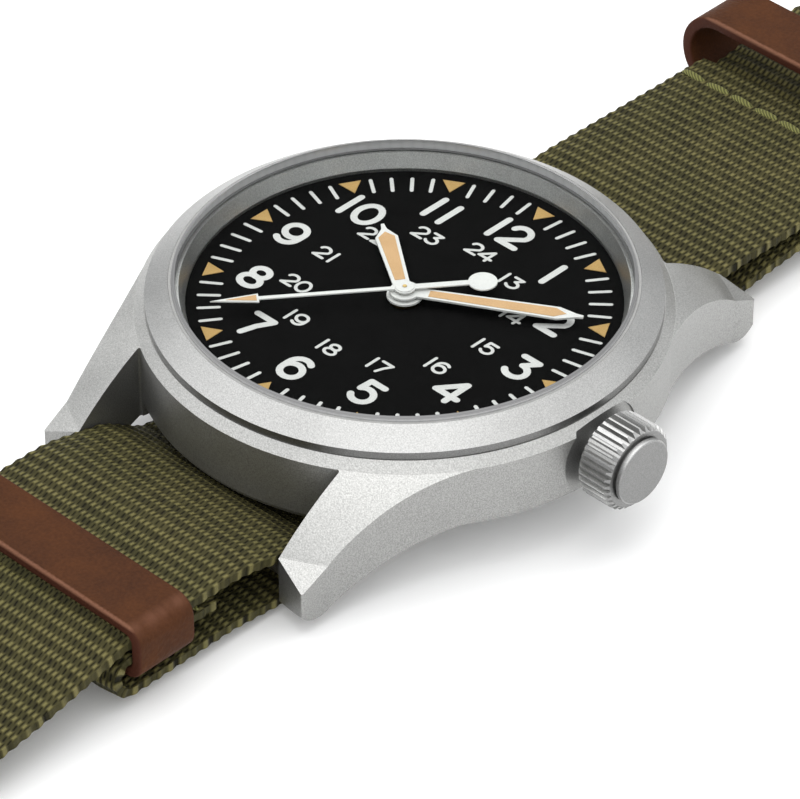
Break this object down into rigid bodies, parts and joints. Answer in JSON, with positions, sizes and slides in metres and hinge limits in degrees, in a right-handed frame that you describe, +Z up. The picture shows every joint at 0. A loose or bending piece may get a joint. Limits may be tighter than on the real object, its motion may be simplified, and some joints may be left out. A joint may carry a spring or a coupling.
{
  "type": "field watch",
  "caption": "Hand-wound field watch with a bead-blasted case, black dial, sword hands and knurled crown, on a ribbed webbing strap with leather keepers and a buckle",
  "frame": {"origin": "Under the hands' axis, on the plane that the watch lies on: the middle of the flat of the lower strap under the case back.", "axes": "+X towards the crown at 3 o'clock, +Y towards 12 o'clock along the strap, +Z up out of the dial."},
  "size_m": [0.0425, 0.2825, 0.012],
  "materials": {
    "case_steel": "bead-blasted",
    "bezel_steel": "fine satin",
    "crystal": "polished",
    "gasket": "matt",
    "dial": "matt black",
    "hands": "white",
    "plate": "nickel plated",
    "ring": "moulded",
    "brass": "polished",
    "tool_steel": "polished",
    "spring_steel": "polished",
    "jewel": "polished",
    "fittings": "satin",
    "webbing": "ribbed weave",
    "leather": "smooth"
  },
  "bodies": {
    "watch": {"case_middle": "case_steel", "bezel": "bezel_steel", "crystal": "crystal", "case_gaskets": "gasket", "case_back": "case_steel", "crown_tube": "fittings", "movement_ring": "ring", "dial": "dial", "main_plate": "plate", "barrel_bridge": "plate", "train_bridge": "plate", "balance_cock": "plate", "pallet_bridge": "plate", "movement_screws": "tool_steel", "jewels": "jewel", "click_spring": "spring_steel", "setting_spring": "tool_steel", "hairspring": "spring_steel", "spring_bar_tubes": "fittings", "main_strap": "webbing", "under_strap": "webbing", "keeper_6": "leather", "keeper_12": "leather"},
    "barrel": {"barrel_drum": "brass", "barrel_cover": "brass", "mainspring": "spring_steel"},
    "barrel_core": {"barrel_arbor": "tool_steel", "ratchet_wheel": "tool_steel", "ratchet_screw": "tool_steel"},
    "crown_wheel": {"crown_wheel": "tool_steel"},
    "click": {"click": "tool_steel"},
    "great_wheel": {"great_wheel": "brass"},
    "third_wheel": {"third_wheel": "brass"},
    "seconds": {"fourth_wheel": "brass", "second_hand": "hands"},
    "escape_wheel": {"escape_wheel": "tool_steel"},
    "pallet_lever": {"pallet_fork": "tool_steel", "pallet_stones": "jewel"},
    "balance": {"balance_wheel": "brass", "balance_staff": "tool_steel"},
    "regulator": {"regulator": "tool_steel"},
    "minutes": {"cannon_pinion": "brass", "minute_hand": "hands"},
    "minute_wheel": {"minute_wheel": "brass"},
    "hours": {"hour_wheel": "brass", "hour_hand": "hands"},
    "winding_pinion": {"winding_pinion": "tool_steel"},
    "stem": {"winding_stem": "tool_steel", "crown": "case_steel", "crown_gasket": "gasket"},
    "sliding_pinion": {"sliding_pinion": "tool_steel"},
    "setting_lever": {"setting_lever": "tool_steel"},
    "yoke": {"yoke": "tool_steel"},
    "setting_wheel": {"setting_wheel": "tool_steel"},
    "buckle_frame": {"buckle_frame": "fittings"},
    "buckle_tongue": {"buckle_tongue": "fittings"},
    "bar_tip_12_crown": {"bar_tip_12_crown": "fittings"},
    "bar_tip_12_left": {"bar_tip_12_left": "fittings"},
    "bar_tip_6_crown": {"bar_tip_6_crown": "fittings"},
    "bar_tip_6_left": {"bar_tip_6_left": "fittings"}
  },
  "joints": [
    {"name": "seconds_turn", "type": "hinge", "parent": "watch", "child": "seconds", "pos_m": [0, 0, 0.0064], "axis": [0, 0, -1], "continuous": true},
    {"name": "third_turn", "type": "hinge", "parent": "watch", "child": "third_wheel", "pos_m": [-0.00382, 0.0015, 0.0064], "axis": [0, 0, -1], "continuous": true},
    {"name": "great_turn", "type": "hinge", "parent": "watch", "child": "great_wheel", "pos_m": [-0.00156, 0.00568, 0.0064], "axis": [0, 0, -1], "continuous": true},
    {"name": "barrel_turn", "type": "hinge", "parent": "watch", "child": "barrel", "pos_m": [0.00422, 0.00608, 0.007], "axis": [0, 0, -1], "continuous": true},
    {"name": "escape_turn", "type": "hinge", "parent": "watch", "child": "escape_wheel", "pos_m": [0.0004, -0.00403, 0.0064], "axis": [0, 0, -1], "continuous": true},
    {"name": "minute_turn", "type": "hinge", "parent": "watch", "child": "minutes", "pos_m": [0, 0, 0.0086], "axis": [0, 0, -1], "continuous": true},
    {"name": "minute_wheel_turn", "type": "hinge", "parent": "watch", "child": "minute_wheel", "pos_m": [0.00287, -0.00255, 0.0085], "axis": [0, 0, -1], "continuous": true},
    {"name": "hour_turn", "type": "hinge", "parent": "watch", "child": "hours", "pos_m": [0, 0, 0.0089], "axis": [0, 0, -1], "continuous": true},
    {"name": "setting_wheel_turn", "type": "hinge", "parent": "watch", "child": "setting_wheel", "pos_m": [0.00595, 0, 0.0083], "axis": [0, 0, -1], "continuous": true},
    {"name": "crown_turn", "type": "hinge", "parent": "watch", "child": "winding_pinion", "pos_m": [0.0101, 0, 0.0068], "axis": [1, 0, 0], "continuous": true},
    {"name": "crown_wheel_turn", "type": "hinge", "parent": "watch", "child": "crown_wheel", "pos_m": [0.0076, 0, 0.0048], "axis": [0, 0, 1], "continuous": true},
    {"name": "ratchet_turn", "type": "hinge", "parent": "watch", "child": "barrel_core", "pos_m": [0.00422, 0.00608, 0.0048], "axis": [0, 0, 1], "continuous": true},
    {"name": "crown_pull", "type": "slide", "parent": "winding_pinion", "child": "stem", "axis": [1, 0, 0], "range_m": [0, 0.0008]},
    {"name": "clutch_shift", "type": "slide", "parent": "winding_pinion", "child": "sliding_pinion", "axis": [1, 0, 0], "range_m": [-0.0008, 0]},
    {"name": "setting_lever_swing", "type": "hinge", "parent": "watch", "child": "setting_lever", "pos_m": [0.0113, 0.0034, 0.0084], "axis": [0, 0, 1], "range_deg": [0, 16.2]},
    {"name": "yoke_swing", "type": "hinge", "parent": "watch", "child": "yoke", "pos_m": [0.00845, 0.0043, 0.0084], "axis": [0, 0, 1], "range_deg": [-15, 0]},
    {"name": "click_swing", "type": "hinge", "parent": "watch", "child": "click", "pos_m": [0.0033, 0.01129, 0.00465], "axis": [0, 0, 1], "range_deg": [0, 8], "stiffness_Nm_per_rad": 0.00001},
    {"name": "pallet_rock", "type": "hinge", "parent": "watch", "child": "pallet_lever", "pos_m": [-0.00195, -0.00499, 0.0065], "axis": [0, 0, 1], "range_deg": [-6, 6]},
    {"name": "balance_swing", "type": "hinge", "parent": "watch", "child": "balance", "pos_m": [-0.0052, -0.0063, 0.0057], "axis": [0, 0, 1], "range_deg": [-270, 270], "stiffness_Nm_per_rad": 0.00000044},
    {"name": "regulator_turn", "type": "hinge", "parent": "watch", "child": "regulator", "pos_m": [-0.0052, -0.0063, 0.0041], "axis": [0, 0, 1], "range_deg": [-10, 10]},
    {"name": "buckle_swing", "type": "hinge", "parent": "watch", "child": "buckle_frame", "pos_m": [0, 0.078, 0.0022], "axis": [1, 0, 0], "range_deg": [-4, 60]},
    {"name": "tongue_swing", "type": "hinge", "parent": "buckle_frame", "child": "buckle_tongue", "pos_m": [0, 0.078, 0.0022], "axis": [1, 0, 0], "range_deg": [0, 70]},
    {"name": "bar_tip_12_crown_press", "type": "slide", "parent": "watch", "child": "bar_tip_12_crown", "axis": [-1, 0, 0], "range_m": [0, 0.00105], "stiffness_N_per_m": 200},
    {"name": "bar_tip_12_left_press", "type": "slide", "parent": "watch", "child": "bar_tip_12_left", "axis": [1, 0, 0], "range_m": [0, 0.00105], "stiffness_N_per_m": 200},
    {"name": "bar_tip_6_crown_press", "type": "slide", "parent": "watch", "child": "bar_tip_6_crown", "axis": [-1, 0, 0], "range_m": [0, 0.00105], "stiffness_N_per_m": 200},
    {"name": "bar_tip_6_left_press", "type": "slide", "parent": "watch", "child": "bar_tip_6_left", "axis": [1, 0, 0], "range_m": [0, 0.00105], "stiffness_N_per_m": 200}
  ],
  "couplings": [
    {"joint": "third_turn", "follows": "seconds_turn", "ratio": -0.13333},
    {"joint": "great_turn", "follows": "seconds_turn", "ratio": 0.016667},
    {"joint": "barrel_turn", "follows": "seconds_turn", "ratio": -0.0027778},
    {"joint": "escape_turn", "follows": "seconds_turn", "ratio": -9},
    {"joint": "minute_wheel_turn", "follows": "minute_turn", "ratio": -0.33333},
    {"joint": "hour_turn", "follows": "minute_turn", "ratio": 0.083333},
    {"joint": "setting_wheel_turn", "follows": "minute_turn", "ratio": 0.85714},
    {"joint": "crown_wheel_turn", "follows": "crown_turn", "ratio": 0.56},
    {"joint": "ratchet_turn", "follows": "crown_turn", "ratio": -0.40976},
    {"joint": "clutch_shift", "follows": "crown_pull", "ratio": -1},
    {"joint": "setting_lever_swing", "follows": "crown_pull", "rad_per_m": 350.8},
    {"joint": "yoke_swing", "follows": "crown_pull", "rad_per_m": -325.9}
  ]
}
